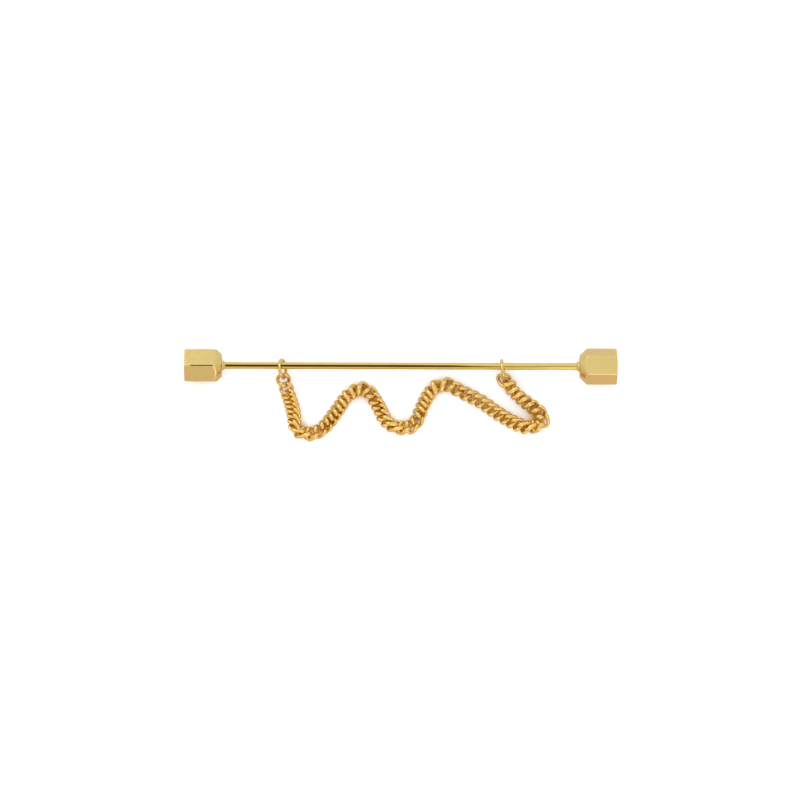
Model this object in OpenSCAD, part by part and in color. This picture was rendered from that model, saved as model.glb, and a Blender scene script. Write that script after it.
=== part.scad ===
// Collar pin: a thin bar with a hexagonal cap at each end and a curb chain that hangs
// from it on two jump rings. Sizes are in millimetres. The part lies flat on z = 0 with
// the bar along X and the chain toward -Y.

/* [Bar] */
// Length over both caps
overall_len = 62; // [57:0.5:66]
// Thickness of the rod
bar_d = 1.0; // [0.9:0.05:1.3]
// Length of rod held inside the fixed cap
seat_len = 3.0; // [2:0.1:4]
// Thickness of the threaded stub over its thread
stub_d = 0.8; // [0.7:0.05:1]
// Length of the threaded stub
stub_len = 3.0; // [2:0.1:3.6]

/* [Caps] */
// Width of the hexagon across its flats
cap_af = 4.6; // [4:0.1:5.2]
// Width over the corners, which are turned down a little
cap_corner_d = 5.2; // [4.5:0.05:5.9]
// Length of the hexagonal body with its chamfer
cap_len = 5.3; // [4.5:0.1:6.5]
// Diameter of the flat face that looks toward the rod
seat_face_d = 3.2; // [2.6:0.1:3.8]
// Bevel round the outer end
end_bevel = 0.15; // [0.05:0.05:0.4]
// Length of the cone neck
neck_len = 0.4; // [0.2:0.05:0.8]
// Diameter of the neck at the cap
neck_root_d = 1.5; // [1.3:0.05:2.2]
// Diameter of the neck at its tip
neck_tip_d = 1.2; // [1.1:0.05:1.6]
// Slack of the fixed cap's hole round the rod
fixed_slack = 0.02; // [0.01:0.01:0.06]
// Slack of the screw cap's hole round the stub
screw_slack = 0.06; // [0.04:0.01:0.12]
// Room between each hole's floor and the metal in it
floor_gap = 0.2; // [0.05:0.05:0.6]
// Gap between the bar's shoulder and the screw cap
shoulder_gap = 0.03; // [0.02:0.01:0.1]
// Turn of the screw cap from a flat straight up
screw_turn = -5; // [-30:1:30]

/* [Jump rings] */
// Mean diameter of a jump ring
ring_d = 2.62; // [2.2:0.01:3]
// Thickness of the jump ring's wire
ring_wire = 0.45; // [0.35:0.05:0.6]
// Left ring's place along the bar
ring_left_x = -16.96; // [-24:0.01:0]
// Right ring's place along the bar
ring_right_x = 14.65; // [0:0.01:24]
// How far the rings hang toward the chain
ring_drop_y = 0.46; // [0:0.01:0.5]
// How far the rings hang below the rod
ring_drop_z = 0.18; // [0:0.01:0.25]
// Lean of the left ring along the bar
ring_left_lean = -17.6; // [-25:0.1:25]
// Lean of the right ring along the bar
ring_right_lean = -4; // [-25:0.5:25]
// Turn of the left ring seen from above
ring_left_turn = 6.5; // [-20:0.5:20]
// Turn of the right ring seen from above
ring_right_turn = 8; // [-20:0.5:20]

/* [Chain] */
// Half the width of a link's wire centre line
link_b = 0.80; // [0.5:0.01:0.9]
// Twist of a curb link, out of its own plane
link_twist = -0.54; // [-0.65:0.01:-0.3]
// Thickness of the links' wire, thinned to keep the links apart
link_wire = 0.24; // [0.16:0.02:0.36]
// Corners along one link
link_steps = 14; // [10:2:16]
// Sides of the wire
wire_sides = 6; // [5:1:6]
// The strand's course from the left ring to the right one. Each row has the place along
// the bar, the place across it, the height of the strand's middle, the roll of the
// strand and the step from link to link.
// [x, y, height, roll, pitch]
stations = [
  [-16.80, -2.10, 2.05, -15, 1.20],
  [-16.40, -3.35, 1.60, 15, 0.95],
  [-16.05, -4.35, 1.20, 25, 0.70],
  [-15.40, -6.35, 1.20, 35, 0.75],
  [-15.15, -8.00, 1.20, 65, 0.90],
  [-14.95, -9.25, 1.10, 80, 1.05],
  [-13.50, -9.85, 1.15, 115, 1.10],
  [-12.15, -9.60, 1.20, 160, 1.10],
  [-10.60, -8.40, 0.95, 195, 0.90],
  [-8.65, -5.85, 1.05, 230, 0.85],
  [-7.65, -4.40, 1.15, 255, 0.90],
  [-6.60, -3.50, 1.15, 300, 1.00],
  [-5.55, -3.25, 1.05, 315, 1.05],
  [-4.70, -3.60, 0.95, 340, 1.10],
  [-4.00, -4.45, 1.10, 370, 0.95],
  [-3.10, -5.95, 1.10, 370, 0.80],
  [-2.20, -7.60, 1.20, 405, 0.90],
  [-0.70, -8.85, 1.10, 455, 1.05],
  [1.05, -8.90, 1.25, 505, 1.10],
  [2.20, -8.00, 1.05, 535, 1.05],
  [3.00, -6.30, 1.00, 590, 0.80],
  [4.00, -4.35, 1.05, 585, 0.90],
  [5.15, -2.90, 1.25, 630, 1.15],
  [6.85, -2.65, 1.00, 685, 1.25],
  [8.50, -3.55, 1.15, 735, 1.20],
  [11.50, -5.00, 1.20, 755, 1.10],
  [14.20, -6.85, 1.15, 750, 1.00],
  [17.00, -8.35, 1.25, 760, 1.05],
  [18.95, -8.70, 1.10, 815, 1.05],
  [20.40, -8.00, 1.15, 875, 1.10],
  [19.95, -6.60, 1.00, 920, 1.15],
  [18.05, -5.05, 1.10, 950, 0.95],
  [16.05, -3.30, 1.25, 980, 0.95],
  [14.85, -1.90, 1.30, 1070, 1.20]
];
// Shape of a link for each pitch: half the length of its centre line, how square it is and
// how far it leans along the strand. A link stands shorter where the strand is pushed together.
// [pitch, half_length, squareness, lean]
link_table = [
  [0.68, 0.56, 0.10, -25],
  [0.80, 0.60, 0.05, -25],
  [0.95, 0.68, 0.00, -22],
  [1.10, 0.80, 0.00, -18],
  [1.25, 0.88, 0.00, -15]
];

/* [Hidden] */
gold = [0.86, 0.68, 0.33];
deep_gold = [0.85, 0.60, 0.22];
half_len = overall_len / 2;
face_x = half_len - cap_len;
neck_x = face_x - neck_len;
corner_r = cap_corner_d / 2;
// Reach of a corner along the flat before it is turned down
flat_reach = sqrt(pow(corner_r, 2) - pow(cap_af / 2, 2));
chamfer_len = corner_r - seat_face_d / 2;
// Lowest points of the two caps, and the slope at which the bar comes to rest on them
left_low = corner_r;
right_low = cap_af / 2 * cos(screw_turn) + flat_reach * sin(abs(screw_turn));
left_rest_x = -(face_x + chamfer_len);
right_rest_x = half_len - end_bevel;
slope = atan((left_low - right_low) / (right_rest_x - left_rest_x));
mid_height = left_low + left_rest_x * tan(slope);
rod_left_x = -(neck_x + neck_len + seat_len);
// The chain's reach toward the front and the caps' reach to the back centre the part on Y = 0
chain_front = 10.76;
bar_y = (chain_front - corner_r) / 2;

function axis_height(x) = mid_height - x * tan(slope);

// Places the bar and the caps as they lie
module lying() {
  translate([0, bar_y, mid_height])
    rotate([0, slope, 0])
      children();
}

// Turns a profile of (radius, place along X) round the bar's axis
module turned(points) {
  rotate([0, 90, 0])
    rotate_extrude($fn = 64)
      polygon(points);
}

// A cap whose inner face looks along -X, with its corners and chamfer turned
module cap_blank(turn) {
  intersection() {
    translate([face_x, 0, 0])
      rotate([turn, 0, 0])
        rotate([0, 90, 0])
          cylinder(h = cap_len, d = cap_af / cos(30), $fn = 6);
    turned([
      [0, face_x],
      [seat_face_d / 2, face_x],
      [corner_r, face_x + chamfer_len],
      [corner_r, half_len - end_bevel],
      [corner_r - end_bevel, half_len],
      [0, half_len]
    ]);
  }
}

module neck_blank() {
  turned([
    [0, neck_x],
    [neck_tip_d / 2, neck_x],
    [neck_root_d / 2, face_x],
    [neck_root_d / 2, face_x + 0.3],
    [0, face_x + 0.3]
  ]);
}

// A blind hole from the neck's tip into a cap
module blind_hole(d, depth) {
  translate([neck_x - 0.1, 0, 0])
    rotate([0, 90, 0])
      cylinder(h = depth + 0.1, d = d, $fn = 48);
}

module bar() {
  color(gold)
    lying()
      turned([
        [0, rod_left_x],
        [bar_d / 2 - 0.06, rod_left_x],
        [bar_d / 2, rod_left_x + 0.06],
        [bar_d / 2, neck_x - shoulder_gap],
        [stub_d / 2, neck_x - shoulder_gap],
        [stub_d / 2, neck_x - shoulder_gap + stub_len - 0.1],
        [stub_d / 2 - 0.1, neck_x - shoulder_gap + stub_len],
        [0, neck_x - shoulder_gap + stub_len]
      ]);
}

// The hexagon of this cap has a corner straight up and one straight down
module fixed_cap() {
  color(gold)
    lying()
      rotate([0, 0, 180])
        difference() {
          union() {
            cap_blank(0);
            neck_blank();
          }
          blind_hole(bar_d + fixed_slack, neck_len + seat_len + floor_gap);
        }
}

module screw_cap() {
  color(gold)
    lying()
      difference() {
        union() {
          cap_blank(30 + screw_turn);
          neck_blank();
        }
        blind_hole(stub_d + screw_slack, stub_len + floor_gap);
      }
}

// One jump ring, round the rod and drawn toward the chain
module jump_ring(x, lean, turn) {
  color(deep_gold)
    translate([x, bar_y - ring_drop_y, axis_height(x) - ring_drop_z])
      rotate([0, 0, turn])
        rotate([0, lean, 0])
          rotate([0, 90, 0])
            rotate_extrude($fn = 64)
              translate([ring_d / 2, 0])
                circle(d = ring_wire, $fn = 32);
}

module ring_left() {
  jump_ring(ring_left_x, ring_left_lean, ring_left_turn);
}

module ring_right() {
  jump_ring(ring_right_x, ring_right_lean, ring_right_turn);
}

// Smooth curve through the stations, with the roll and the pitch between them
curve_steps = 10;
last_station = len(stations) - 1;
function row(i) =
  i < 0 ? 2 * stations[0] - stations[1]
  : i > last_station ? 2 * stations[last_station] - stations[last_station - 1]
  : stations[i];
function spline(a, b, c, d, t) =
  0.5 * (2 * b + (c - a) * t + (2 * a - 5 * b + 4 * c - d) * t * t + (3 * b - a - 3 * c + d) * t * t * t);
function blend_row(i, t) =
  let (smooth = spline(row(i - 1), row(i), row(i + 1), row(i + 2), t))
  let (plain = row(i) * (1 - t) + row(i + 1) * t)
  [smooth[0], smooth[1], smooth[2], plain[3], plain[4]];
course = [
  for (i = [0 : last_station - 1])
    for (j = [0 : curve_steps - 1])
      blend_row(i, j / curve_steps),
  stations[last_station]
];
function place(row) = [row[0], row[1], row[2]];
// Length along the course at each of its points
along = [
  for (i = 0, s = 0; i < len(course);
       s = s + (i + 1 < len(course) ? norm(place(course[i + 1]) - place(course[i])) : 0), i = i + 1)
    s
];
course_len = along[len(along) - 1];
function column(c) = [for (i = [0 : len(course) - 1]) [along[i], course[i][c]]];
course_x = column(0);
course_y = column(1);
course_z = column(2);
course_roll = column(3);
course_pitch = column(4);
function point_at(s) = [lookup(s, course_x), lookup(s, course_y), lookup(s, course_z)];

// Steps off the links, then spreads what is left over among them
paced = [for (s = 0; s <= course_len; s = s + lookup(s, course_pitch)) s];
link_count = len(paced);
spread = course_len / paced[link_count - 1];
half_count = floor(link_count / 2);

function unit(v) = v / norm(v);
function link_column(c) = [for (row = link_table) [row[0], row[c]]];

// Centre line of a link in its own frame: a twisted oval that leans along the strand
function link_line(pitch, roll) =
  let (a = lookup(pitch, link_column(1)))
  let (square = lookup(pitch, link_column(2)))
  let (lean = lookup(pitch, link_column(3)))
  [
    for (i = [0 : link_steps - 1])
      let (t = 180 / link_steps + i * 360 / link_steps)
      let (p = [a * cos(t) - square * cos(3 * t), link_b * sin(t), link_twist * sin(2 * t)])
      let (q = [cos(lean) * p[0] + sin(lean) * p[2], p[1], cos(lean) * p[2] - sin(lean) * p[0]])
      [q[0], cos(roll) * q[1] - sin(roll) * q[2], sin(roll) * q[1] + cos(roll) * q[2]]
  ];

// Centre line of link k where it lies
function placed_line(k) =
  let (s = paced[k] * spread)
  let (tangent = unit(point_at(min(s + 0.4, course_len)) - point_at(max(s - 0.4, 0))))
  let (side = unit(cross([0, 0, 1], tangent)))
  let (up = cross(tangent, side))
  let (origin = point_at(s) + [0, bar_y, 0])
  [for (p = link_line(lookup(s, course_pitch), lookup(s, course_roll)))
    origin + tangent * p[0] + side * p[1] + up * p[2]];

// One closed link of wire
module link(k) {
  line = placed_line(k);
  n = link_steps;
  centre = [for (c = [0 : 2]) [for (p = line) p[c]] * [for (p = line) 1 / n]];
  points = [
    for (i = [0 : n - 1])
      let (tangent = unit(line[(i + 1) % n] - line[(i + n - 1) % n]))
      let (out = line[i] - centre)
      let (u = unit(out - tangent * (out * tangent)))
      let (w = cross(tangent, u))
      for (j = [0 : wire_sides - 1])
        let (a = j * 360 / wire_sides)
        line[i] + link_wire / 2 * (cos(a) * u + sin(a) * w)
  ];
  faces = [
    for (i = [0 : n - 1])
      for (j = [0 : wire_sides - 1])
        let (i2 = (i + 1) % n)
        let (j2 = (j + 1) % wire_sides)
        for (half = [0, 1])
          half == 0
            ? [i * wire_sides + j, i * wire_sides + j2, i2 * wire_sides + j2]
            : [i * wire_sides + j, i2 * wire_sides + j2, i2 * wire_sides + j]
  ];
  polyhedron(points = points, faces = faces, convexity = 4);
}

module chain_left() {
  color(deep_gold)
    for (k = [0 : half_count - 1])
      link(k);
}

module chain_right() {
  color(deep_gold)
    for (k = [half_count : link_count - 1])
      link(k);
}

bar();
fixed_cap();
screw_cap();
ring_left();
ring_right();
chain_left();
chain_right();
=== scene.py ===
"""Looks of a collar pin: a round bar, two hexagonal caps, two jump rings and a curb chain.

Lengths in this file are millimetres, and meshes are turned into metres as they are made.
The sizes and the chain's course repeat those of the part's solids.
"""
import logging
import math
from dataclasses import dataclass
from enum import Enum

import bpy
import numpy as np
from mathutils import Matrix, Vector


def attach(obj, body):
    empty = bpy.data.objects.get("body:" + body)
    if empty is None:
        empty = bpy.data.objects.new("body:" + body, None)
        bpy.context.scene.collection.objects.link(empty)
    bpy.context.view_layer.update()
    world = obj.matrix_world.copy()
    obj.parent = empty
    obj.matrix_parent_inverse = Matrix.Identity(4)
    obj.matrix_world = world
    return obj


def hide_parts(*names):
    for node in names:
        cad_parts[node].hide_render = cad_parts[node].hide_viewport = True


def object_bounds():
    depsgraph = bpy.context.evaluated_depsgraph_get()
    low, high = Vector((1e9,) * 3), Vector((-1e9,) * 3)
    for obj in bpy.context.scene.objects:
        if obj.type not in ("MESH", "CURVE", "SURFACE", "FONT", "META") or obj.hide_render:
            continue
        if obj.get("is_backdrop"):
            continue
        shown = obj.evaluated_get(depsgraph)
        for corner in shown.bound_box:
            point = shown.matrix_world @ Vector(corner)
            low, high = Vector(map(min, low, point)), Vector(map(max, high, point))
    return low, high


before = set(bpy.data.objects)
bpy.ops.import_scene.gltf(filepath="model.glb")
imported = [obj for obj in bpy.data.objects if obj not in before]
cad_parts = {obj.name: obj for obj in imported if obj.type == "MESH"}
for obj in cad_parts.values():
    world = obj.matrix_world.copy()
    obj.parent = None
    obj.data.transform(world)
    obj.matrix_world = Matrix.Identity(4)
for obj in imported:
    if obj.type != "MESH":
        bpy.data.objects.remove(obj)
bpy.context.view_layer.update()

Array = np.ndarray
Material = bpy.types.Material
Piece = bpy.types.Object
Socket = bpy.types.NodeSocket
Colour = tuple[float, float, float]
Pair = tuple[float, float]
Steps = tuple[Pair, ...]

MM = 0.001
LOG = logging.getLogger("collar_pin")
# Degrees that one side of a hexagon takes round its axis
SECTOR = 60.0
# Radius of the point that closes a turned end, and what rounding may add to a length
POINT_R, ROUNDING = 0.001, 1e-9
# Numbers of the colour sockets of a Mix node
MIX_FIRST, MIX_SECOND, MIX_RESULT = 6, 7, 2
# Cut of a thread's groove: how flat its root is, and how steep its flanks
GROOVE_ROOT, GROOVE_FLANK = 1.15, 3.2


class Grain(Enum):
    """How a gold surface was finished, which sets the marks on it."""

    DRAWN = "drawn"
    SATIN = "satin"
    TUMBLED = "tumbled"


class Work(Enum):
    """How a row of a cap's surface was worked, which sets the way its marks run."""

    END = "turned, toward the cap's end"
    FLAT = "flat of the hexagon"
    NECK = "turned, toward the neck"


@dataclass(frozen=True)
class PinSizes:
    """Sizes that the bar and its two caps share."""

    overall_len: float = 62.0
    bar_d: float = 1.0
    seat_len: float = 3.0
    stub_d: float = 0.8
    stub_len: float = 3.0
    thread_pitch: float = 0.2
    cap_af: float = 4.6
    cap_corner_d: float = 5.2
    cap_len: float = 5.3
    seat_face_d: float = 3.2
    end_bevel: float = 0.15
    neck_len: float = 0.4
    neck_root_d: float = 1.5
    neck_tip_d: float = 1.2
    fixed_slack: float = 0.02
    screw_slack: float = 0.06
    floor_gap: float = 0.2
    shoulder_gap: float = 0.03
    screw_turn: float = -5.0
    chain_front: float = 10.76

    @property
    def half_len(self) -> float:
        """Half the length over both caps."""
        return self.overall_len / 2

    @property
    def face_x(self) -> float:
        """Place of a cap's inner face along the bar."""
        return self.half_len - self.cap_len

    @property
    def neck_x(self) -> float:
        """Place of a neck's tip along the bar."""
        return self.face_x - self.neck_len

    @property
    def corner_r(self) -> float:
        """Radius over a cap's turned corners."""
        return self.cap_corner_d / 2

    @property
    def chamfer_len(self) -> float:
        """Length of a cap's chamfer along the bar."""
        return self.corner_r - self.seat_face_d / 2

    @property
    def bar_y(self) -> float:
        """Place of the bar across the part."""
        return (self.chain_front - self.corner_r) / 2

    @property
    def slope(self) -> float:
        """Slope in radians at which the bar rests on its two caps."""
        drop, right_rest = self.corner_r - self._right_low(), self.half_len - self.end_bevel
        return math.atan(drop / (right_rest + self._left_rest()))

    @property
    def mid_height(self) -> float:
        """Height of the bar's axis at its middle."""
        return self.corner_r - self._left_rest() * math.tan(self.slope)

    def _right_low(self) -> float:
        """Finds how low the turned screw cap reaches.

        Returns:
            The distance from the axis down to its lowest edge.
        """
        turn = math.radians(abs(self.screw_turn))
        reach = math.sqrt(self.corner_r ** 2 - (self.cap_af / 2) ** 2)
        return self.cap_af / 2 * math.cos(turn) + reach * math.sin(turn)

    def _left_rest(self) -> float:
        """Distance from the middle to the fixed cap's resting point."""
        return self.face_x + self.chamfer_len

    def axis_height(self, x: float) -> float:
        """Height of the bar's axis at a place along the bar."""
        return self.mid_height - x * math.tan(self.slope)

    def lay(self, points: Array) -> Array:
        """Carries points from the bar's own axes to where the bar lies.

        Args:
            points: An array of n points, with the bar's axis along X.

        Returns:
            The n points in the part's frame.
        """
        c, s = math.cos(self.slope), math.sin(self.slope)
        turn = np.array([[c, 0, s], [0, 1, 0], [-s, 0, c]])
        return points @ turn.T + np.array([0, self.bar_y, self.mid_height])


SIZES = PinSizes()


def smooth_least(a: Array, b: Array, width: float) -> Array:
    """The lesser of two values, rounded over where they differ by less than a width."""
    h = np.clip(width - np.abs(a - b), 0, None) / width
    return np.minimum(a, b) - h * h * width / 4


def ramp(value: float, start: float, length: float) -> float:
    """Rises from 0 at a start to 1 a length further on, and stays there."""
    return min(1.0, max(0.0, (value - start) / length))


def thread_groove(x: float, around: Array) -> Array:
    """A screw thread's groove at a place along it, from 0 on its crest to 1 at its root."""
    phase = (x / SIZES.thread_pitch + around / (2 * math.pi)) % 1.0
    return np.clip(GROOVE_ROOT - np.abs(phase - 0.5) * GROOVE_FLANK, 0, 1)


def moved(x: float, r: float, steps: Steps) -> list[Pair]:
    """Places and radii of a short profile that is given as steps from one of its points."""
    return [(x + along, r + out) for along, out in steps]


def grid_faces(rows: int, columns: int, close_rows: bool = False,
               close_columns: bool = True) -> Array:
    """Joins a grid of points that is stored row by row into four-cornered faces.

    Args:
        rows: Number of rows.
        columns: Number of points in a row.
        close_rows: Whether the last row joins the first.
        close_columns: Whether the last point of a row joins its first.

    Returns:
        An array of faces, four point numbers each.
    """
    r = np.arange(rows if close_rows else rows - 1)
    c = np.arange(columns if close_columns else columns - 1)
    r, c = [g.ravel() for g in np.meshgrid(r, c, indexing="ij")]
    r2, c2 = (r + 1) % rows, (c + 1) % columns
    corners = [r * columns + c, r * columns + c2, r2 * columns + c2, r2 * columns + c]
    return np.stack(corners, 1)


def add(name: str, data: bpy.types.ID) -> Piece:
    """Puts a mesh, lamp or camera into the scene as a new object.

    Args:
        name: Name of the object.
        data: What it shows.

    Returns:
        The object.
    """
    made = bpy.data.objects.new(name, data)
    bpy.context.scene.collection.objects.link(made)
    return made


def make_piece(name: str, points: Array, faces: Array, marks: dict[str, Array],
               finish: Material) -> Piece:
    """Makes one smooth mesh object in metres.

    Args:
        name: Name of the piece.
        points: Its points in millimetres, in the part's frame.
        faces: Its four-cornered faces.
        marks: Values kept on the points for the material, one or three numbers a point.
        finish: Its material.

    Returns:
        The new object.
    """
    mesh = bpy.data.meshes.new(name)
    mesh.from_pydata((points * MM).tolist(), [], faces.tolist())
    for key, values in marks.items():
        wide = values.ndim == 2
        layer = mesh.attributes.new(key, "FLOAT_VECTOR" if wide else "FLOAT", "POINT")
        layer.data.foreach_set("vector" if wide else "value", values.astype(np.float32).ravel())
    mesh.polygons.foreach_set("use_smooth", np.ones(len(mesh.polygons), bool))
    mesh.materials.append(finish)
    mesh.update()
    return add(name, mesh)


class Recipe:
    """The nodes of a material or a world, made and joined one after another."""

    def __init__(self, owner: bpy.types.ID) -> None:
        """Starts with no nodes.

        Args:
            owner: The new material or world.
        """
        owner.use_nodes = True
        self.owner = owner
        self.tree = owner.node_tree
        self.tree.nodes.clear()

    def node(self, kind: str, settings: dict[str, object] | None = None,
             places: dict[int, object] | None = None, **sockets: object) -> bpy.types.Node:
        """Adds a node.

        Args:
            kind: Its type, without the leading word ShaderNode.
            settings: Properties of the node itself.
            places: Inputs by number, each a constant or another node's output.
            **sockets: Inputs by name, with _ for a blank.

        Returns:
            The new node.
        """
        made = self.tree.nodes.new("ShaderNode" + kind)
        for key, value in (settings or {}).items():
            setattr(made, key, value)
        for key, value in (places or {}).items():
            self.join(made.inputs[key], value)
        for key, value in sockets.items():
            self.join(made.inputs[key.replace("_", " ")], value)
        return made

    def join(self, socket: Socket, value: object) -> None:
        """Sets an input to a constant, or links another node's output to it.

        Args:
            socket: The input.
            value: A constant or an output.
        """
        if isinstance(value, Socket):
            self.tree.links.new(value, socket)
        else:
            socket.default_value = (*value, 1) if socket.type == "RGBA" else value

    def surface(self, shader: bpy.types.Node) -> Material:
        """Ends the recipe with its surface, and gives the finished material."""
        self.node("OutputMaterial", Surface=shader.outputs[0])
        return self.owner

    def point_value(self, name: str, output: str = "Fac") -> Socket:
        """Output of a value that a piece keeps on its points."""
        return self.node("Attribute", {"attribute_name": name}).outputs[output]

    def sum(self, operation: str, a: object, b: object) -> Socket:
        """One step of arithmetic with two numbers or outputs."""
        return self.node("Math", {"operation": operation}, {0: a, 1: b}).outputs[0]

    def noise(self, where: Socket, across: float, along: float, detail: float) -> Socket:
        """A cloud of values, with so many patches to a unit across the marks and along them."""
        where = self.node("Mapping", Vector=where, Scale=(across, across, along)).outputs[0]
        return self.node("TexNoise", Vector=where, Scale=1.0, Detail=detail).outputs[0]

    def spread(self, value: Socket, low: float, high: float, source: Pair = (0.3, 0.7)) -> Socket:
        """Maps a value from a source range to the range from low to high, held at its ends."""
        return self.node("MapRange", Value=value, From_Min=source[0], From_Max=source[1],
                         To_Min=low, To_Max=high).outputs[0]

    def blend(self, share: Socket, first: object, second: object) -> Socket:
        """Mixes two colours or outputs, by the second one's share."""
        places = {0: share, MIX_FIRST: first, MIX_SECOND: second}
        return self.node("Mix", {"data_type": "RGBA"}, places).outputs[MIX_RESULT]


@dataclass(frozen=True)
class MarkLayer:
    """One layer of fine marks: patches to a millimetre across and along, detail and share."""

    across: float
    along: float
    detail: float
    share: float = 1.0


GRAIN_LAYERS = {
    Grain.TUMBLED: (MarkLayer(9.0, 3.0, 5.0),),
    Grain.DRAWN: (MarkLayer(34.0, 0.5, 4.0),),
    Grain.SATIN: (MarkLayer(42.0, 1.0, 3.0, 0.6), MarkLayer(9.0, 3.0, 6.0, 0.4)),
}


@dataclass(frozen=True)
class GoldFinish:
    """Gold plating with its own tone, gloss and surface marks.

    The cloud and the cast are noises over the part, in patches to the metre. The depths of
    the bumps are in metres.
    """

    name: str
    tone: Colour
    deep: Colour
    pale: Colour
    grain: Grain
    roughness: Pair
    marks: float
    cloud_scale: float = 420.0
    cloud_detail: float = 2.0
    cast_scale: float = 1300.0
    cast_detail: float = 4.0
    cast_share: float = 0.45
    cast_marks: float = 0.6
    rub_share: float = 0.5
    rub_gloss: float = 0.05
    hair_dull: Pair = (-0.02, 0.05)
    hair_depth: float = 0.00002
    cast_depth: float = 0.00006

    def material(self) -> Material:
        """Builds the finish.

        Returns:
            The material.
        """
        recipe = Recipe(bpy.data.materials.new(self.name))
        where = recipe.node("TexCoord").outputs["Object"]
        rub = recipe.point_value("rub")
        cloud = recipe.noise(where, self.cloud_scale, self.cloud_scale, self.cloud_detail)
        cast = recipe.noise(where, self.cast_scale, self.cast_scale, self.cast_detail)
        hairs = self._hairs(recipe)
        tone = recipe.blend(recipe.spread(cloud, 0.0, 1.0), self.tone, self.deep)
        tone = recipe.blend(recipe.spread(cast, 0.0, self.cast_share), tone, self.pale)
        tone = recipe.blend(recipe.sum("MULTIPLY", rub, self.rub_share), tone, self.pale)
        dull = recipe.sum("ADD", recipe.spread(cast, *self.roughness),
                          recipe.spread(hairs, *self.hair_dull))
        dull = recipe.sum("SUBTRACT", dull, recipe.sum("MULTIPLY", rub, self.rub_gloss))
        bump = recipe.node("Bump", Strength=self.marks, Distance=self.hair_depth, Height=hairs)
        bump = recipe.node("Bump", Strength=self.marks * self.cast_marks,
                           Distance=self.cast_depth, Height=cast, Normal=bump.outputs[0])
        shader = recipe.node("BsdfPrincipled", Base_Color=tone, Metallic=1.0, Roughness=dull,
                             Normal=bump.outputs[0])
        return recipe.surface(shader)

    def _hairs(self, recipe: Recipe) -> Socket:
        """Makes the fine marks that follow the way the piece was worked.

        Args:
            recipe: The material in the making.

        Returns:
            The marks' height.
        """
        lay = recipe.point_value("grain", "Vector")
        layers = [recipe.sum("MULTIPLY", recipe.noise(lay, m.across, m.along, m.detail), m.share)
                  for m in GRAIN_LAYERS[self.grain]]
        height = layers[0]
        for layer in layers[1:]:
            height = recipe.sum("ADD", height, layer)
        return height


CAP_GOLD = GoldFinish("satin_cap_gold", (0.80, 0.613, 0.23), (0.785, 0.59, 0.21),
                      (0.82, 0.65, 0.27), Grain.SATIN, (0.21, 0.24), 0.06)
BAR_GOLD = GoldFinish("drawn_bar_gold", (0.84, 0.65, 0.21), (0.81, 0.60, 0.18),
                      (0.87, 0.70, 0.28), Grain.DRAWN, (0.05, 0.08), 0.08)
RING_GOLD = GoldFinish("bright_ring_gold", (0.87, 0.63, 0.20), (0.83, 0.57, 0.16),
                       (0.90, 0.69, 0.28), Grain.DRAWN, (0.14, 0.2), 0.15)
CHAIN_GOLD = GoldFinish("tumbled_chain_gold", (0.92, 0.65, 0.20), (0.89, 0.60, 0.15),
                        (0.95, 0.71, 0.30), Grain.TUMBLED, (0.19, 0.27), 0.2)


@dataclass(frozen=True)
class Row:
    """One closed row of points round a cap's axis: place along it, radius, and work."""

    x: Array
    r: Array
    work: Work

    @classmethod
    def even(cls, like: Array, x: float, r: float) -> "Row":
        """A round row square to the axis, turned toward the neck."""
        return cls(np.full_like(like, x), np.full_like(like, r), Work.NECK)


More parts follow.
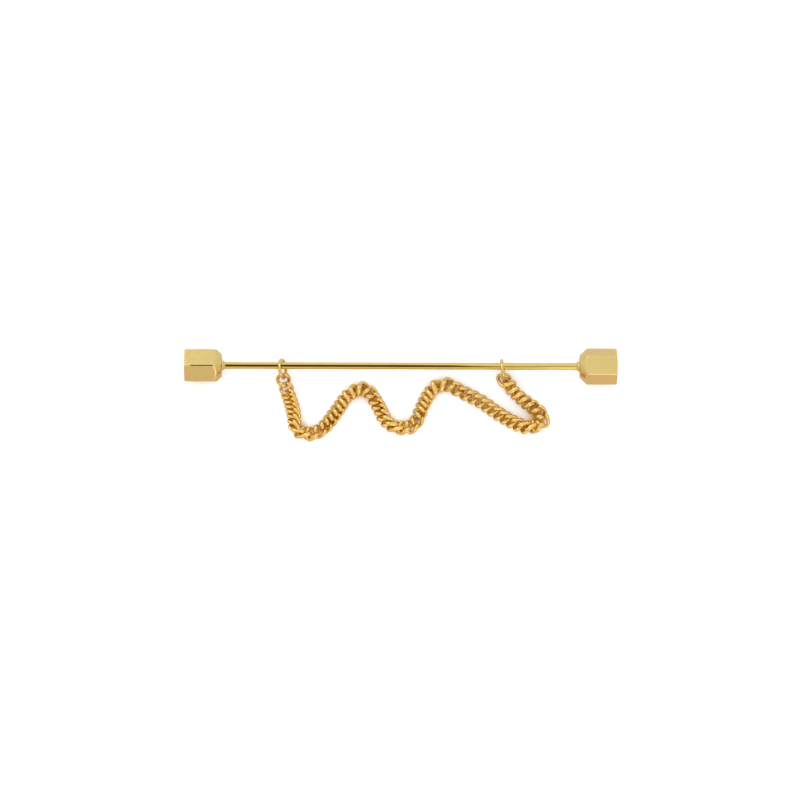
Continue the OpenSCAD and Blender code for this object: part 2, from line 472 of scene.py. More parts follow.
@dataclass
class HexCap:
    """A hexagonal cap with a turned chamfer, a cone neck and a blind hole.

    The tables of steps give place and radius, each as a difference from the corner that the
    table's name says.
    """

    name: str
    node: str
    body: str
    turn: float
    flipped: bool
    bore_r: float
    bore_depth: float
    thread: bool
    near_ridge: tuple[float, ...] = (0.0, 0.5, 1.0, 1.5, 2.0, 2.6, 3.4, 4.6, 6.2, 8.0)
    past_ridge: float = 10.0
    past_ridge_steps: int = 10
    ridge_round: float = 0.07
    corner_round: float = 0.042
    chamfer_round: float = 0.16
    flat_bevel: float = 0.08
    bevel_steps: int = 7
    end_shares: tuple[float, ...] = (0.0, 0.02, 0.15, 0.3, 0.45, 0.6, 0.75, 0.88, 0.96)
    flat_margins: Pair = (0.3, 0.2)
    flat_steps: int = 9
    chamfer_margins: Pair = (0.03, 0.06)
    chamfer_steps: int = 41
    turned_chamfer: float = 0.75
    face_edge: Steps = ((0.03, 0.02), (0.008, -0.03), (0.0, -0.09))
    face_margins: Pair = (0.15, 0.12)
    face_steps: int = 6
    neck_foot: Steps = ((-0.02, 0.05), (-0.06, -0.01))
    neck_inset: float = 0.06
    root_inset: float = 0.02
    neck_shares: tuple[float, ...] = (0.25, 0.5, 0.75, 1.0)
    neck_edge: Steps = ((0.02, -0.012), (0.0, -0.04))
    bore_rim: Steps = ((0.0, 0.03), (0.012, 0.01), (0.03, 0.0))
    bore_from: float = 0.06
    plain_steps: int = 4
    thread_steps: int = 120
    thread_depth: float = 0.045
    thread_from: float = 0.15
    thread_rise: float = 0.15
    thread_end: float = 0.2
    floor_shares: tuple[float, ...] = (0.9, 0.5, 0.02)
    flat_run: float = 0.03
    turned_run: float = 0.8
    rub_wide: float = 0.12
    rub_fade: float = 0.1
    rub_deep: float = 0.5
    rub_deep_fade: float = 0.3
    turned_rub: float = 0.4

    def build(self, finish: Material) -> Piece:
        """Makes the cap where it lies.

        Args:
            finish: Its material.

        Returns:
            The piece.
        """
        around = self._angles()
        side = self._side_radius(around)
        rows = self._outside(side) + self._inside(around)
        points = np.concatenate([
            np.stack([row.x, -row.r * np.sin(around), row.r * np.cos(around)], 1)
            for row in rows])
        if self.flipped:
            points = points * np.array([-1, -1, 1])
        marks = {"grain": np.concatenate([self._marks(row, around) for row in rows]),
                 "rub": np.concatenate([self._rub(row, side) for row in rows])}
        faces = grid_faces(len(rows), len(around))
        piece = make_piece(self.name, SIZES.lay(points), faces, marks, finish)
        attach(piece, self.body)
        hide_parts(self.node)
        return piece

    def _angles(self) -> Array:
        """Sets the angles round the axis, closer together at the six ridges.

        Returns:
            The angles in radians, from straight up toward the front.
        """
        half = [*self.near_ridge,
                *np.linspace(self.past_ridge, SECTOR / 2, self.past_ridge_steps)]
        whole = sorted(half[:-1] + [SECTOR - angle for angle in half[1:]])
        return np.radians([self.turn + SECTOR * i + a for i in range(6) for a in whole])

    def _side_radius(self, around: Array) -> Array:
        """Shapes the hexagonal side, with its corners turned down and its ridges softened.

        Args:
            around: Angles round the axis.

        Returns:
            The radius at each angle.
        """
        off = (np.degrees(around) - self.turn) % SECTOR
        flat = SIZES.cap_af / 2
        fore = flat / np.cos(np.radians(off - SECTOR / 2))
        other = flat / np.cos(np.radians(SECTOR / 2 + np.minimum(off, SECTOR - off)))
        corner = np.full_like(fore, SIZES.corner_r)
        return smooth_least(smooth_least(fore, other, self.ridge_round), corner,
                            self.corner_round)

    def _marks(self, row: Row, around: Array) -> Array:
        """Lays out the fine marks of a row: along the flats, and round the turned work.

        Args:
            row: The row.
            around: Angles round the axis.

        Returns:
            Coordinates across the marks and along them.
        """
        if row.work is Work.FLAT:
            return np.stack([-row.r * np.sin(around), row.r * np.cos(around),
                             self.flat_run * row.x], 1)
        across = row.x + row.r if row.work is Work.END else row.x - row.r
        return np.stack([across, np.cos(around) * self.turned_run,
                         np.sin(around) * self.turned_run], 1)

    def _rub(self, row: Row, side: Array) -> Array:
        """Wear on the ridges, as a share from 0 to 1."""
        ridge = np.clip((side - SIZES.corner_r + self.rub_wide) / self.rub_fade, 0, 1) ** 2
        return (ridge * np.clip((row.r - SIZES.corner_r + self.rub_deep) / self.rub_deep_fade, 0, 1)
                * (1.0 if row.work is Work.FLAT else self.turned_rub))

    def _outside(self, side: Array) -> list[Row]:
        """Makes the rows of the outer surface, from the end face's middle to the neck's tip.

        Args:
            side: Radius of the side at each angle.

        Returns:
            The rows.
        """
        s = SIZES
        corner = np.clip((side - s.cap_af / 2) / (s.corner_r - s.cap_af / 2), 0, 1)
        bevel = self.flat_bevel + (s.end_bevel - self.flat_bevel) * corner ** 3
        end = np.full_like(side, s.half_len)
        rows = [Row(end, (side - bevel) * share, Work.END) for share in self.end_shares]
        for step in np.linspace(0.0, math.pi / 2, self.bevel_steps):
            rows.append(Row(s.half_len - bevel * (1 - math.cos(step)),
                            side - bevel * (1 - math.sin(step)), Work.END))
        flat_end = s.face_x + s.chamfer_len + self.flat_margins[1]
        for x in np.linspace(s.half_len - self.flat_margins[0], flat_end, self.flat_steps):
            rows.append(Row(np.full_like(side, x), side, Work.FLAT))
        start, stop = flat_end - self.chamfer_margins[0], s.face_x + self.chamfer_margins[1]
        for x in np.linspace(start, stop, self.chamfer_steps):
            cone = np.full_like(side, s.seat_face_d / 2 + (x - s.face_x))
            work = Work.FLAT if x > s.face_x + self.turned_chamfer else Work.NECK
            rows.append(Row(np.full_like(side, x), smooth_least(side, cone, self.chamfer_round),
                            work))
        face_r, root_r, tip_r = s.seat_face_d / 2, s.neck_root_d / 2, s.neck_tip_d / 2
        profile = moved(s.face_x, face_r, self.face_edge)
        profile += [(s.face_x, r) for r in np.linspace(
            face_r - self.face_margins[0], root_r + self.face_margins[1], self.face_steps)]
        profile += moved(s.face_x, root_r, self.neck_foot)
        root, run = s.face_x - self.neck_inset, s.neck_len - 2 * self.neck_inset
        thick = root_r - self.root_inset
        profile += [(root - run * k, thick + (tip_r - thick) * k) for k in self.neck_shares]
        profile += moved(s.neck_x, tip_r, self.neck_edge)
        return rows + [Row.even(side, x, r) for x, r in profile]

    def _inside(self, around: Array) -> list[Row]:
        """Makes the rows of the blind hole, from its rim to its floor.

        Args:
            around: Angles round the axis.

        Returns:
            The rows.
        """
        tip, depth = SIZES.neck_x, self.bore_depth
        rows = [Row.even(around, x, r) for x, r in moved(tip, self.bore_r, self.bore_rim)]
        steps = self.thread_steps if self.thread else self.plain_steps
        for x in np.linspace(self.bore_from, depth, steps):
            cut = 0.0
            if self.thread:
                fade = (ramp(x, self.thread_from, self.thread_rise)
                        * ramp(-x, self.thread_end - depth, self.thread_end))
                cut = self.thread_depth * fade * thread_groove(x, around)
            rows.append(Row.even(around, tip + x, self.bore_r + cut))
        return rows + [Row.even(around, tip + depth, self.bore_r * share)
                       for share in self.floor_shares]


@dataclass
class Rod:
    """The round rod, with its shoulder and its threaded stub.

    The tables of steps give place and radius, each as a difference from the end or shoulder
    that the table's name says.
    """

    name: str = "bar_rod"
    sides: int = 72
    seat_end: Steps = ((0.0, -0.06), (0.02, -0.025), (0.06, 0.0))
    rod_margins: Pair = (0.2, 0.08)
    rod_steps: int = 24
    shoulder_edge: Steps = ((-0.04, 0.0), (-0.012, -0.012), (0.0, -0.04))
    stub_foot: Steps = ((0.0, 0.02), (0.02, 0.0))
    stub_margins: Pair = (0.04, 0.1)
    stub_steps: int = 150
    stub_edge: Steps = ((-0.05, -0.05), (0.0, -0.1))
    thread_depth: float = 0.065
    thread_from: float = 0.15
    thread_rise: float = 0.2
    thread_fall: float = 0.1
    along_run: float = 0.03

    def build(self, finish: Material) -> Piece:
        """Makes the rod where it lies.

        Args:
            finish: Its material.

        Returns:
            The piece.
        """
        around = np.linspace(0, 2 * math.pi, self.sides, endpoint=False)
        rows = []
        for x, r in self._profile():
            radius = self._radius(x, r, around)
            rows.append(np.stack([np.full_like(around, x), -radius * np.sin(around),
                                  radius * np.cos(around)], 1))
        points = np.concatenate(rows)
        grain = points[:, [1, 2, 0]] * np.array([1, 1, self.along_run])
        faces = grid_faces(len(rows), self.sides)
        piece = make_piece(self.name, SIZES.lay(points), faces,
                           {"grain": grain, "rub": np.zeros(len(points))}, finish)
        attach(piece, "bar")
        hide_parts("bar")
        return piece

    def _shoulder(self) -> float:
        """Place along the axis where the stub begins."""
        return SIZES.neck_x - SIZES.shoulder_gap

    def _profile(self) -> list[Pair]:
        """Draws the rod's profile from end to end.

        Returns:
            Places along the axis with the radius at each.
        """
        left, shoulder = -(SIZES.face_x + SIZES.seat_len), self._shoulder()
        end = shoulder + SIZES.stub_len
        r, stub = SIZES.bar_d / 2, SIZES.stub_d / 2
        rows = [(left, POINT_R)] + moved(left, r, self.seat_end)
        start, stop = left + self.rod_margins[0], shoulder - self.rod_margins[1]
        rows += [(x, r) for x in np.linspace(start, stop, self.rod_steps)]
        rows += moved(shoulder, r, self.shoulder_edge) + moved(shoulder, stub, self.stub_foot)
        start, stop = shoulder + self.stub_margins[0], end - self.stub_margins[1]
        rows += [(x, stub) for x in np.linspace(start, stop, self.stub_steps)]
        return rows + moved(end, stub, self.stub_edge) + [(end, POINT_R)]

    def _radius(self, x: float, r: float, around: Array) -> Array:
        """Cuts the thread into the stub, fading out at both its ends.

        Args:
            x: Place along the axis.
            r: Radius there without the thread.
            around: Angles round the axis.

        Returns:
            The radius at each angle.
        """
        run = x - self._shoulder()
        fade = (ramp(run, self.thread_from, self.thread_rise)
                * ramp(-run, -SIZES.stub_len, self.thread_fall))
        return r - self.thread_depth * fade * thread_groove(run, around)


@dataclass
class JumpRing:
    """A ring of round wire that hangs on the bar, closed at a fine seam.

    The table for the wire's ends gives, from the seam on, the share of the rounding's length
    and the share of the wire's thickness.
    """

    name: str
    node: str
    x: float
    lean: float
    turn: float
    seam_at: float
    mean_d: float = 2.62
    wire_d: float = 0.45
    drop_y: float = 0.46
    drop_z: float = 0.18
    seam_gap: float = 0.02
    seam_round: float = 0.05
    wire_end: Steps = ((0.0, 0.02), (0.0, 0.75), (0.12, 0.9), (0.4, 0.97))
    steps: int = 88
    sides: int = 24
    along_run: float = 0.1

    def build(self, finish: Material) -> Piece:
        """Makes the ring where it hangs.

        Args:
            finish: Its material.

        Returns:
            The piece.
        """
        reach, wire, whole = self.mean_d / 2, self.wire_d / 2, 2 * math.pi
        gap, soft = self.seam_gap / 2 / reach, self.seam_round / reach
        ends = [(gap + soft * run, share) for run, share in self.wire_end]
        stops = ends + [(a, 1.0) for a in np.linspace(gap + soft, whole - gap - soft, self.steps)]
        stops += [(whole - a, share) for a, share in reversed(ends)]
        round_wire = np.linspace(0, whole, self.sides, endpoint=False)
        rows, grains = [], []
        for angle, share in stops:
            a = angle + math.radians(self.seam_at)
            r = reach + wire * share * np.cos(round_wire)
            w = wire * share * np.sin(round_wire)
            rows.append(np.stack([w, r * math.sin(a), -r * math.cos(a)], 1))
            grains.append(np.stack([wire * np.cos(round_wire), wire * np.sin(round_wire),
                                    np.full_like(w, self.along_run * angle * reach)], 1))
        points = self._hang(np.concatenate(rows))
        faces = grid_faces(len(rows), self.sides)[:, ::-1]
        marks = {"grain": np.concatenate(grains), "rub": np.zeros(len(points))}
        piece = make_piece(self.name, points, faces, marks, finish)
        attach(piece, "bar")
        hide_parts(self.node)
        return piece

    def _hang(self, points: Array) -> Array:
        """Leans and turns the ring and sets it on the bar.

        Args:
            points: Points of the ring about its own middle.

        Returns:
            The points in the part's frame.
        """
        a, b = math.radians(self.lean), math.radians(self.turn)
        lean = np.array([[math.cos(a), 0, math.sin(a)], [0, 1, 0], [-math.sin(a), 0, math.cos(a)]])
        turn = np.array([[math.cos(b), -math.sin(b), 0], [math.sin(b), math.cos(b), 0], [0, 0, 1]])
        place = [self.x, SIZES.bar_y - self.drop_y, SIZES.axis_height(self.x) - self.drop_z]
        return points @ (turn @ lean).T + np.array(place)


@dataclass
class CurbChain:
    """The curb chain: twisted oval links, all alike, that lean on one another in a strand.

    A station has its place along the bar and across it from its axis, its height, the strand's
    roll in degrees and the pitch of the links. The link table has, for a pitch, half a link's
    length, how square its ends are and how far it leans in degrees. The flat table has half the
    wire's width for a pitch.
    """

    stations: tuple[tuple[float, float, float, float, float], ...]
    link_table: tuple[tuple[float, float, float, float], ...]
    flat_table: Steps
    half_width: float = 0.80
    twist: float = -0.54
    curve_steps: int = 10
    look: float = 0.4
    steps: int = 56
    sides: int = 14
    wire_r: float = 0.25
    least_r: float = 0.22
    least_wide: float = 0.26
    lift: float = 0.02
    neighbours: int = 3
    even_passes: int = 3
    even_step: float = 0.004
    mark_shift: float = 3.7
    rub_share: float = 0.6

    def build(self, finish: Material) -> list[Piece]:
        """Makes the chain in two pieces that meet in the middle.

        Args:
            finish: Its material.

        Returns:
            The two pieces, the left one first.
        """
        lines, pitches = self._lines()
        halves = self._wire(lines, pitches)
        half = len(lines) // 2
        pieces = []
        for name, node, span in (("chain_left_links", "chain_left", range(half)),
                                 ("chain_right_links", "chain_right", range(half, len(lines)))):
            piece = self._piece(name, lines, halves, span, finish)
            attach(piece, "bar")
            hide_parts(node)
            pieces.append(piece)
        return pieces

    def _course(self) -> tuple[Array, Array, Array]:
        """Draws the strand's middle line as a smooth curve through the stations.

        Returns:
            Length along it, its points, and the roll and pitch at each.
        """
        rows = np.array(self.stations)
        ends = np.vstack([2 * rows[0] - rows[1], rows, 2 * rows[-1] - rows[-2]])
        points, values = [], []
        for i in range(len(rows) - 1):
            a, b, c, d = ends[i:i + 4, :3]
            for t in np.arange(self.curve_steps) / self.curve_steps:
                points.append(0.5 * (2 * b + (c - a) * t + (2 * a - 5 * b + 4 * c - d) * t * t
                                     + (3 * b - a - 3 * c + d) * t ** 3))
                values.append(rows[i, 3:] * (1 - t) + rows[i + 1, 3:] * t)
        points = np.array(points + [rows[-1, :3]])
        values = np.array(values + [rows[-1, 3:]])
        lengths = np.linalg.norm(np.diff(points, axis=0), axis=1)
        return np.concatenate([[0], np.cumsum(lengths)]), points, values

    def _paced(self, along: Array, pitch: Array) -> Array:
        """Spaces the links along the strand so that the last one is at its end.

        Args:
            along: Length along the strand at each of its points.
            pitch: The pitch at each point.

        Returns:
            Places of the links along the strand.
        """
        places = [0.0]
        while places[-1] + np.interp(places[-1], along, pitch) <= along[-1] + ROUNDING:
            places.append(places[-1] + np.interp(places[-1], along, pitch))
        return np.array(places) * along[-1] / places[-1]

    def _lines(self) -> tuple[Array, Array]:
        """Draws the centre lines of all the links.

        Returns:
            An array of link, step and coordinate, and the pitch at each link.
        """
        table = list(zip(*self.link_table))
        around = np.linspace(0, 2 * math.pi, self.steps, endpoint=False)
        along, points, values = self._course()
        places = self._paced(along, values[:, 1])
        rolls, pitches = [np.interp(places, along, values[:, c]) for c in (0, 1)]
        lines = []
        for place, pitch, roll in zip(places, pitches, np.radians(rolls)):
            here, fore, back = [
                np.array([np.interp(v, along, points[:, c]) for c in range(3)])
                for v in (place, place + self.look, place - self.look)]
            tangent = (fore - back) / np.linalg.norm(fore - back)
            side = np.cross([0, 0, 1], tangent)
            side /= np.linalg.norm(side)
            half, square, lean = [np.interp(pitch, table[0], column) for column in table[1:]]
            cos, sin = math.cos(math.radians(lean)), math.sin(math.radians(lean))
            x = half * np.cos(around) - square * np.cos(3 * around)
            y = self.half_width * np.sin(around)
            z = self.twist * np.sin(2 * around)
            x, z = cos * x + sin * z, cos * z - sin * x
            cos, sin = math.cos(roll), math.sin(roll)
            y, z = cos * y - sin * z, sin * y + cos * z
            origin = here + np.array([0, SIZES.bar_y, self.lift])
            lines.append(origin + np.outer(x, tangent) + np.outer(y, side)
                         + np.outer(z, np.cross(tangent, side)))
        return np.array(lines), pitches

    def _wire(self, lines: Array, pitches: Array) -> Array:
        """Sizes the wire, thinned to a least size where it would press into a neighbour.

        Args:
            lines: Centre lines of the links.
            pitches: The pitch at each link.

        Returns:
            Half its thickness and half its width, an array of size, link and step.
        """
        thick = np.full((len(pitches), self.steps), self.wire_r)
        flat = np.interp(pitches, *zip(*self.flat_table))[:, None]
        halves = np.stack([thick, np.broadcast_to(flat, thick.shape)])
        room = np.full(thick.shape, np.inf)
        for gap in range(1, self.neighbours + 1):
            for k in range(len(lines) - gap):
                apart = np.linalg.norm(lines[k][:, None] - lines[k + gap][None], axis=2)
                room[k] = np.minimum(room[k], apart.min(1) / 2)
                room[k + gap] = np.minimum(room[k + gap], apart.min(0) / 2)
        floors = np.array([self.least_r, self.least_wide])[:, None, None]
        least = np.minimum(halves, np.maximum(room, floors))
        for _ in range(self.even_passes):
            even = (np.roll(least, 1, 2) + np.roll(least, -1, 2) + 2 * least) / 4
            least = np.minimum(least, even + self.even_step)
        return least

    def _piece(self, name: str, lines: Array, halves: Array, span: range,
               finish: Material) -> Piece:
        """Makes the links of one piece as closed tubes.

        Args:
            name: Name of the piece.
            lines: Centre lines of all the links.
            halves: Half thickness and half width of the wire of all the links.
            span: Numbers of the links in this piece.
            finish: Its material.

        Returns:
            The piece.
        """
        round_wire = np.linspace(0, 2 * math.pi, self.sides, endpoint=False)
        cos_wire, sin_wire = np.cos(round_wire), np.sin(round_wire)
        cos_all, sin_all = np.tile(cos_wire, self.steps), np.tile(sin_wire, self.steps)
        arc = np.repeat(np.linspace(0, 1, self.steps), self.sides)
        one = grid_faces(self.steps, self.sides, close_rows=True)
        points, faces, grains = [], [], []
        for number, k in enumerate(span):
            line = lines[k]
            tangent = np.roll(line, -1, 0) - np.roll(line, 1, 0)
            tangent /= np.linalg.norm(tangent, axis=1)[:, None]
            out = line - line.mean(0)
            out -= tangent * (out * tangent).sum(1)[:, None]
            out /= np.linalg.norm(out, axis=1)[:, None]
            other = np.cross(tangent, out)
            thick, wide = halves[0, k][:, None, None], halves[1, k][:, None, None]
            ring = (out[:, None] * cos_wire[None, :, None] * thick
                    + other[:, None] * sin_wire[None, :, None] * wide)
            points.append((line[:, None] + ring).reshape(-1, 3))
            faces.append(one + number * self.steps * self.sides)
            grains.append(np.stack([self.wire_r * cos_all + self.mark_shift * k,
                                    self.wire_r * sin_all, arc], 1))
        rub = np.tile(np.clip(cos_all, 0, 1) ** 2 * self.rub_share, len(span))
        return make_piece(name, np.concatenate(points), np.concatenate(faces),
                          {"grain": np.concatenate(grains), "rub": rub}, finish)


CHAIN = CurbChain(
    stations=(
        (-16.8, -2.1, 2.05, -15, 1.2), (-16.4, -3.35, 1.6, 15, 0.95),
        (-16.05, -4.35, 1.2, 25, 0.7), (-15.4, -6.35, 1.2, 35, 0.75),
        (-15.15, -8.0, 1.2, 65, 0.9), (-14.95, -9.25, 1.1, 80, 1.05),
        (-13.5, -9.85, 1.15, 115, 1.1), (-12.15, -9.6, 1.2, 160, 1.1),
        (-10.6, -8.4, 0.95, 195, 0.9), (-8.65, -5.85, 1.05, 230, 0.85),
        (-7.65, -4.4, 1.15, 255, 0.9), (-6.6, -3.5, 1.15, 300, 1.0),
        (-5.55, -3.25, 1.05, 315, 1.05), (-4.7, -3.6, 0.95, 340, 1.1),
        (-4.0, -4.45, 1.1, 370, 0.95), (-3.1, -5.95, 1.1, 370, 0.8),
        (-2.2, -7.6, 1.2, 405, 0.9), (-0.7, -8.85, 1.1, 455, 1.05),
        (1.05, -8.9, 1.25, 505, 1.1), (2.2, -8.0, 1.05, 535, 1.05),
        (3.0, -6.3, 1.0, 590, 0.8), (4.0, -4.35, 1.05, 585, 0.9),
        (5.15, -2.9, 1.25, 630, 1.15), (6.85, -2.65, 1.0, 685, 1.25),
        (8.5, -3.55, 1.15, 735, 1.2), (11.5, -5.0, 1.2, 755, 1.1),
        (14.2, -6.85, 1.15, 750, 1.0), (17.0, -8.35, 1.25, 760, 1.05),
        (18.95, -8.7, 1.1, 815, 1.05), (20.4, -8.0, 1.15, 875, 1.1),
        (19.95, -6.6, 1.0, 920, 1.15), (18.05, -5.05, 1.1, 950, 0.95),
        (16.05, -3.3, 1.25, 980, 0.95), (14.85, -1.9, 1.3, 1070, 1.2),
    ),
    link_table=(
        (0.68, 0.56, 0.1, -25), (0.8, 0.6, 0.05, -25), (0.95, 0.68, 0.0, -22),
        (1.1, 0.8, 0.0, -18), (1.25, 0.88, 0.0, -15),
    ),
    flat_table=((0.68, 0.27), (0.8, 0.29), (0.95, 0.32), (1.25, 0.36)),
)


@dataclass(frozen=True)
class Lamp:
    """A square soft light: where it stands, the length of its side, and its watts."""

    name: str
    place: tuple[float, float, float]
    size: float
    power: float

    def build(self) -> None:
        """Sets the light up, facing the middle of the pin and unseen by the camera."""
        data = bpy.data.lights.new(self.name, "AREA")
        data.size, data.energy = self.size * MM, self.power
        lamp = add(self.name, data)
        lamp.location = Vector(self.place) * MM
        lamp.rotation_euler = (-lamp.location).to_track_quat("-Z", "Y").to_euler()
        lamp.visible_camera = False


@dataclass(frozen=True)
class Card:
    """A dark strip close over the metal, seen only in its gloss, whose glow paints a fine dark
    reflection line into it.

    A row has its place along the bar, its reach behind the bar's axis and in front of it, its share
    of amber in the painted reflection, and its cover, which is 1 where nothing shows through.
    """

    name: str
    above: float
    rows: tuple[tuple[float, float, float, float, float], ...]

    def build(self, finish: Material) -> Piece:
        """Makes the strip.

        Args:
            finish: Its material.

        Returns:
            The strip.
        """
        points, amber, share = [], [], []
        for x, back, front, warmth, cover in self.rows:
            for y in (-front, back):
                points.append([x, SIZES.bar_y + y, SIZES.axis_height(x) + self.above])
                amber.append(warmth)
                share.append(cover)
        strip = make_piece(self.name, np.array(points),
                           grid_faces(len(self.rows), 2, close_columns=False),
                           {"amber": np.array(amber), "cover": np.array(share)}, finish)
        strip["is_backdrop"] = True
        return strip


@dataclass
class Studio:
    """The pale floor, the soft light and the camera, whose near and far clips are in metres."""

    view_width: float = 114.8
    centre_x: float = -0.10
    centre_y: float = -0.80
    lens: float = 200.0
    sensor: float = 36.0
    clip: Pair = (0.01, 20.0)
    roll: float = 0.17
    zenith: float = 0.91
    horizon: float = 0.86
    zenith_from: float = 0.8
    front_tint: Colour = (0.86, 0.75, 0.72)
    front_range: Pair = (-0.1, -0.6)
    floor_tone: Colour = (0.94, 0.94, 0.94)
    # Tones of the board that the metal sees in place of the floor: painted reflection, dimmer than
    # the floor and warmer in front
    painted_reflection_back: Colour = (0.54, 0.52, 0.54)
    painted_reflection_front: Colour = (0.50, 0.43, 0.42)
    board_change: float = 2.0
    board_reach: float = 3000.0
    board_step: float = 0.001
    mottle_tone: Colour = (0.5, 0.5, 0.5)
    mottle_scale: float = 300.0
    mottle_detail: float = 2.0
    mottle_share: float = 0.04
    paper_dull: float = 0.7
    paper_gloss: float = 0.1
    # Painted gold bounce light where the links shade the floor, with how far it looks, where it
    # starts and its samples
    bounce: Colour = (0.86, 0.47, 0.08)
    bounce_reach: float = 2.4
    bounce_range: Pair = (0.26, 0.50)
    bounce_samples: int = 16
    table_light: float = 2.1
    table_light_angle: float = 110.0
    # Glow of the cards: a painted dark reflection that turns amber
    painted_reflection_dark: Colour = (0.11, 0.04, 0.004)
    painted_reflection_amber: Colour = (0.47, 0.34, 0.07)
    lamps: tuple[Lamp, ...] = (
        Lamp("window_light", (-160, 260, 260), size=160, power=0.16),
        Lamp("front_fill", (120, -300, 200), size=180, power=0.12),
    )
    # Cards over the bar and over the fixed cap's top ridge, which paint dark reflection lines into
    # the metal
    cards: tuple[Card, ...] = (
        Card("bar_card", above=0.75, rows=(
            (-25.2, 0.34, 0.34, 0.0, 1.0), (2.0, 0.34, 0.34, 0.0, 1.0),
            (7.0, 0.28, 0.34, 0.1, 1.0), (10.5, 0.12, 0.34, 0.4, 1.0),
            (13.5, 0.06, 0.42, 0.8, 0.9), (16.0, 0.08, 0.46, 1.0, 0.9),
            (19.5, 0.08, 0.42, 1.0, 0.8), (21.5, 0.14, 0.16, 0.9, 0.8),
            (25.2, 0.14, 0.14, 0.9, 0.7),
        )),
        Card("ridge_card", above=SIZES.corner_r + 0.12, rows=(
            (-30.1, 0.13, 0.13, 0.0, 1.0), (-26.9, 0.13, 0.13, 0.0, 1.0),
        )),
    )

    def build(self) -> None:
        """Sets up the whole studio."""
        self._camera()
        self._sky()
        self._floor()
        self._top_light()
        for lamp in self.lamps:
            lamp.build()
        finish = self._painted_reflection_finish()
        for card in self.cards:
            self._gloss_only(card.build(finish))
        bpy.context.scene.view_settings.view_transform = "Standard"

    def _camera(self) -> None:
        """Looks straight down on the pin, framed as the photograph is."""
        data = bpy.data.cameras.new("camera")
        data.lens, data.sensor_width = self.lens, self.sensor
        data.clip_start, data.clip_end = self.clip
        camera = add("camera", data)
        reach = self.view_width / self.sensor * self.lens
        camera.location = Vector((self.centre_x, self.centre_y, SIZES.mid_height + reach)) * MM
        camera.rotation_euler = (0, 0, math.radians(self.roll))
        bpy.context.scene.camera = camera

    def _sky(self) -> None:
        """Even light from all round, a little dimmer near the horizon and warmer in front."""
        world = bpy.data.worlds.new("tent")
        recipe = Recipe(world)
        where = recipe.node("TexCoord").outputs["Generated"]
        split = recipe.node("SeparateXYZ", Vector=where)
        rise = (0.0, self.zenith_from)
        power = recipe.spread(split.outputs["Z"], self.horizon, self.zenith, rise)
        front = recipe.spread(split.outputs["Y"], 0.0, 1.0, self.front_range)
        tint = recipe.blend(front, (1, 1, 1), self.front_tint)
        glow = recipe.node("Background", Color=tint, Strength=power)
        recipe.node("OutputWorld", Surface=glow.outputs[0])
        world.cycles.sampling_method = "NONE"
        bpy.context.scene.world = world

    def _floor(self) -> None:
        """A wide pale floor just under the part, and a dimmer board, warmer in front, that only the
        metal's gloss sees: a painted reflection of the floor.
        """
        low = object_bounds()[0].z / MM
        floor = self._board("floor", low, self.floor_tone, self.floor_tone, True)
        floor.visible_glossy = False
        # Painted reflection: the metal sees this dimmer board in place of the floor
        self._gloss_only(self._board("bounce_board", low + self.board_step, self.painted_reflection_front,
                                     self.painted_reflection_back, False))

    def _board(self, name: str, height: float, front: Colour, back: Colour, painted_bounce: bool) -> Piece:
        """Makes a wide flat board of faintly mottled paper, pale for the floor and dimmer for the
        board of painted reflection.

        Args:
            name: Its name.
            height: Height of its face.
            front: Its colour in front of the bar.
            back: Its colour behind the bar.
            painted_bounce: Whether it gets painted gold bounce light and shade under the chain.

        Returns:
            The board.
        """
        square = np.array([[-1, -1, 0], [1, -1, 0], [1, 1, 0], [-1, 1, 0]])
        corners = square * self.board_reach + np.array([0, 0, height])
        recipe = Recipe(bpy.data.materials.new(name + "_paper"))
        where = recipe.node("TexCoord").outputs["Object"]
        split = recipe.node("SeparateXYZ", Vector=where)
        # Tone changes from front to back across the bar; on the gloss-only board this is painted
        # reflection
        change = ((SIZES.bar_y - self.board_change) * MM, (SIZES.bar_y + self.board_change) * MM)
        tone = recipe.blend(recipe.spread(split.outputs["Y"], 0.0, 1.0, change), front, back)
        mottle = recipe.noise(where, self.mottle_scale, self.mottle_scale, self.mottle_detail)
        tone = recipe.blend(recipe.spread(mottle, 0.0, self.mottle_share), tone, self.mottle_tone)
        # Painted gold bounce light and shade under the chain, on the floor only
        if painted_bounce:
            tone = self._painted_bounce(recipe, tone)
        shader = recipe.node("BsdfPrincipled", Base_Color=tone, Roughness=self.paper_dull,
                             Specular_IOR_Level=self.paper_gloss)
        board = make_piece(name, corners, np.array([[0, 1, 2, 3]]), {}, recipe.surface(shader))
        board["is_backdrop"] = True
        return board

    def _painted_bounce(self, recipe: Recipe, tone: Socket) -> Socket:
        """Paints gold bounce light and shade on the paper where the links crowd over it and hide
        the sky.

        Args:
            recipe: The paper in the making.
            tone: The paper's own colour.

        Returns:
            The colour's output.
        """
        # Painted bounce: crowded, shaded spots take the gold's bounce colour
        sky = recipe.node("AmbientOcclusion", {"samples": self.bounce_samples},
                          Distance=self.bounce_reach * MM)
        share = recipe.spread(sky.outputs["AO"], 0.0, 1.0, self.bounce_range)
        return recipe.blend(share, self.bounce, tone)

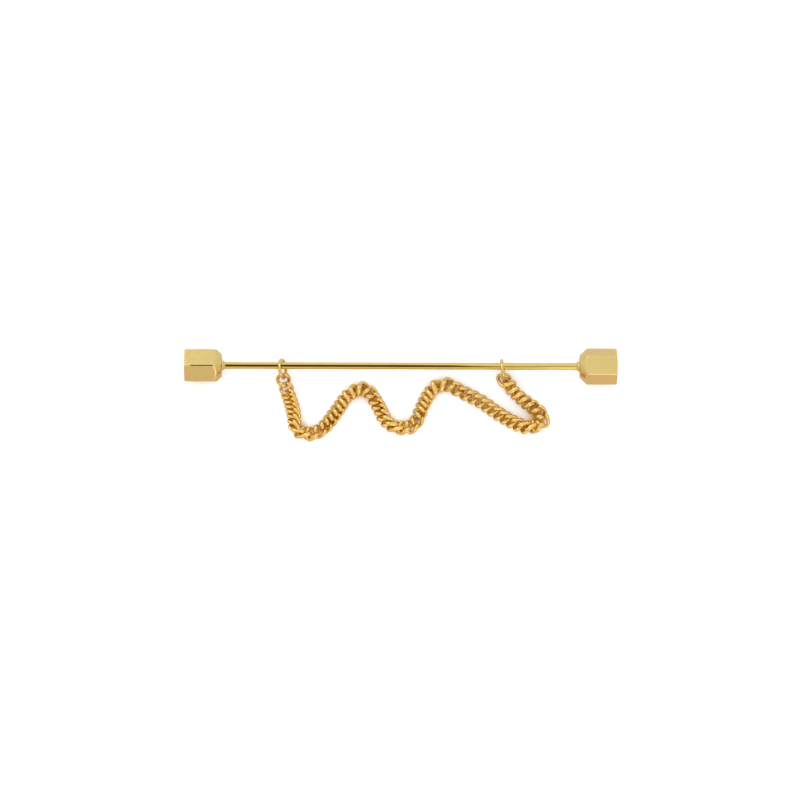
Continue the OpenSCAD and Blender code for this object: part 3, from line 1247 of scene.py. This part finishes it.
    def _gloss_only(self, piece: Piece) -> None:
        """Leaves a stage piece to be seen in polished metal alone."""
        for way in ("camera", "diffuse", "shadow", "transmission", "volume_scatter"):
            setattr(piece, "visible_" + way, False)

    def _top_light(self) -> None:
        """Wide soft light from above for the floor, kept out of the metal's reflections."""
        data = bpy.data.lights.new("top_light", "SUN")
        data.energy, data.angle = self.table_light, math.radians(self.table_light_angle)
        add("top_light", data).visible_glossy = False

    def _painted_reflection_finish(self) -> Material:
        """Makes the cards' glow, a painted reflection that runs from dark brown to amber and may be
        partly see-through.

        Returns:
            The material.
        """
        recipe = Recipe(bpy.data.materials.new("painted_reflection_card"))
        tone = recipe.blend(recipe.point_value("amber"), self.painted_reflection_dark, self.painted_reflection_amber)
        # Painted reflection: the card glows though it is no lamp, and the metal shows the glow as a
        # dark line
        glow = recipe.node("Emission", Color=tone, Strength=1.0)
        clear = recipe.node("BsdfTransparent")
        places = {0: recipe.point_value("cover"), 1: clear.outputs[0], 2: glow.outputs[0]}
        return recipe.surface(recipe.node("MixShader", None, places))


def main() -> None:
    """Builds the pin piece by piece, then the studio round it."""
    logging.basicConfig(level=logging.INFO, format="%(name)s: %(message)s")
    s = SIZES
    cap_gold, ring_gold = CAP_GOLD.material(), RING_GOLD.material()
    fixed_cap = HexCap("cap_fixed", "fixed_cap", "bar", turn=0.0, flipped=True,
                       bore_r=(s.bar_d + s.fixed_slack) / 2,
                       bore_depth=s.neck_len + s.seat_len + s.floor_gap, thread=False)
    screw_cap = HexCap("cap_screw", "screw_cap", "screw_cap", turn=SECTOR / 2 + s.screw_turn,
                       flipped=False, bore_r=(s.stub_d + s.screw_slack) / 2,
                       bore_depth=s.stub_len + s.floor_gap, thread=True)
    left = JumpRing("ring_left_wire", "ring_left", x=-16.96, lean=-17.6, turn=6.5, seam_at=120.0)
    right = JumpRing("ring_right_wire", "ring_right", x=14.65, lean=-4.0, turn=8.0, seam_at=250.0)
    pieces = [Rod().build(BAR_GOLD.material())]
    pieces += [cap.build(cap_gold) for cap in (fixed_cap, screw_cap)]
    pieces += [ring.build(ring_gold) for ring in (left, right)]
    pieces += CHAIN.build(CHAIN_GOLD.material())
    for piece in pieces:
        LOG.info("%s: %d faces", piece.name, len(piece.data.polygons))
    Studio().build()


if __name__ == "__main__":
    main()
